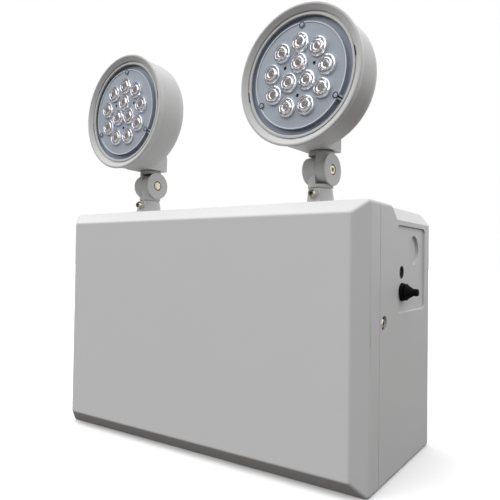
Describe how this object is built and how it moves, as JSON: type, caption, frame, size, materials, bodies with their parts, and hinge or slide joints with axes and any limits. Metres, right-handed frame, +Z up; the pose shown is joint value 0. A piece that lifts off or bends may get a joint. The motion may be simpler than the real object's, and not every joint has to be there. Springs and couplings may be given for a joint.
{
  "type": "emergency exit light",
  "caption": "Battery emergency light: wall case with a test switch and two round lamp heads on swivel and tilt necks.",
  "frame": {"origin": "middle of the flat bottom of the case, at half its width and half its depth", "axes": "+Z up, +Y from the front cover back to the wall, +X to the right as seen from the front"},
  "size_m": [0.3762, 0.174, 0.4167],
  "materials": {
    "case_plastic": "fine moulded texture",
    "gasket_rubber": "matte",
    "zinc_steel": "bright zinc plate",
    "brassy_steel": "yellow zinc plate",
    "black_rubber": "satin",
    "black_plastic": "satin",
    "red_lamp": "clear tinted",
    "battery_plastic": "satin",
    "brass_tabs": "tinned",
    "core_steel": "varnished laminations",
    "coil_tape": "taped winding",
    "circuit_board": "solder mask",
    "board_components": "satin",
    "optic_plastic": "clear moulded",
    "led_yellow": "phosphor",
    "heat_sink": "cast"
  },
  "bodies": {
    "case": {"back_housing": "case_plastic", "front_cover": "case_plastic", "cover_gasket": "gasket_rubber", "cover_screws": "zinc_steel", "test_switch_boot": "black_rubber", "test_switch_body": "black_plastic", "charge_lamp": "red_lamp", "charge_lamp_holder": "black_plastic", "battery": "battery_plastic", "battery_terminals": "brass_tabs", "battery_strap": "zinc_steel", "strap_screws": "zinc_steel", "transformer_core": "core_steel", "transformer_coil": "coil_tape", "charger_board": "circuit_board", "charger_board_parts": "board_components", "charger_board_screws": "zinc_steel", "terminal_block": "black_plastic", "terminal_block_screws": "zinc_steel", "left_collar": "case_plastic", "left_collar_locknut": "zinc_steel", "left_lock_screw": "brassy_steel", "right_collar": "case_plastic", "right_collar_locknut": "zinc_steel", "right_lock_screw": "brassy_steel"},
    "test_button": {"test_button": "black_plastic"},
    "left_swivel": {"left_lower_knuckle": "case_plastic", "left_knuckle_nut": "zinc_steel", "left_knuckle_washer": "zinc_steel"},
    "left_head": {"left_upper_knuckle": "case_plastic", "left_knuckle_bolt": "zinc_steel", "left_stub_nut": "zinc_steel", "left_head_shell": "case_plastic", "left_bezel": "case_plastic", "left_lens_gasket": "gasket_rubber", "left_optic_plate": "optic_plastic", "left_optic_screws": "zinc_steel", "left_led_board": "circuit_board", "left_led_chips": "led_yellow", "left_heat_sink": "heat_sink"},
    "right_swivel": {"right_lower_knuckle": "case_plastic", "right_knuckle_nut": "zinc_steel", "right_knuckle_washer": "zinc_steel"},
    "right_head": {"right_upper_knuckle": "case_plastic", "right_knuckle_bolt": "zinc_steel", "right_stub_nut": "zinc_steel", "right_head_shell": "case_plastic", "right_bezel": "case_plastic", "right_lens_gasket": "gasket_rubber", "right_optic_plate": "optic_plastic", "right_optic_screws": "zinc_steel", "right_led_board": "circuit_board", "right_led_chips": "led_yellow", "right_heat_sink": "heat_sink"}
  },
  "joints": [
    {"name": "test_press", "type": "slide", "parent": "case", "child": "test_button", "axis": [-1, 0, 0], "range_m": [0, 0.0018], "stiffness_N_per_m": 900, "springref_m": -0.0008},
    {"name": "left_swivel_turn", "type": "hinge", "parent": "case", "child": "left_swivel", "pos_m": [-0.112, -0.027, 0.2555], "axis": [0, 0, 1], "range_deg": [-165.9, 174.1]},
    {"name": "left_tilt", "type": "hinge", "parent": "left_swivel", "child": "left_head", "pos_m": [-0.112, -0.027, 0.2735], "axis": [0.9974, -0.0715, 0], "range_deg": [-83.6, 61.4]},
    {"name": "right_swivel_turn", "type": "hinge", "parent": "case", "child": "right_swivel", "pos_m": [0.112, -0.027, 0.2555], "axis": [0, 0, 1], "range_deg": [-165.9, 174.1]},
    {"name": "right_tilt", "type": "hinge", "parent": "right_swivel", "child": "right_head", "pos_m": [0.112, -0.027, 0.2735], "axis": [0.9974, -0.0715, 0], "range_deg": [-83.6, 61.4]}
  ]
}
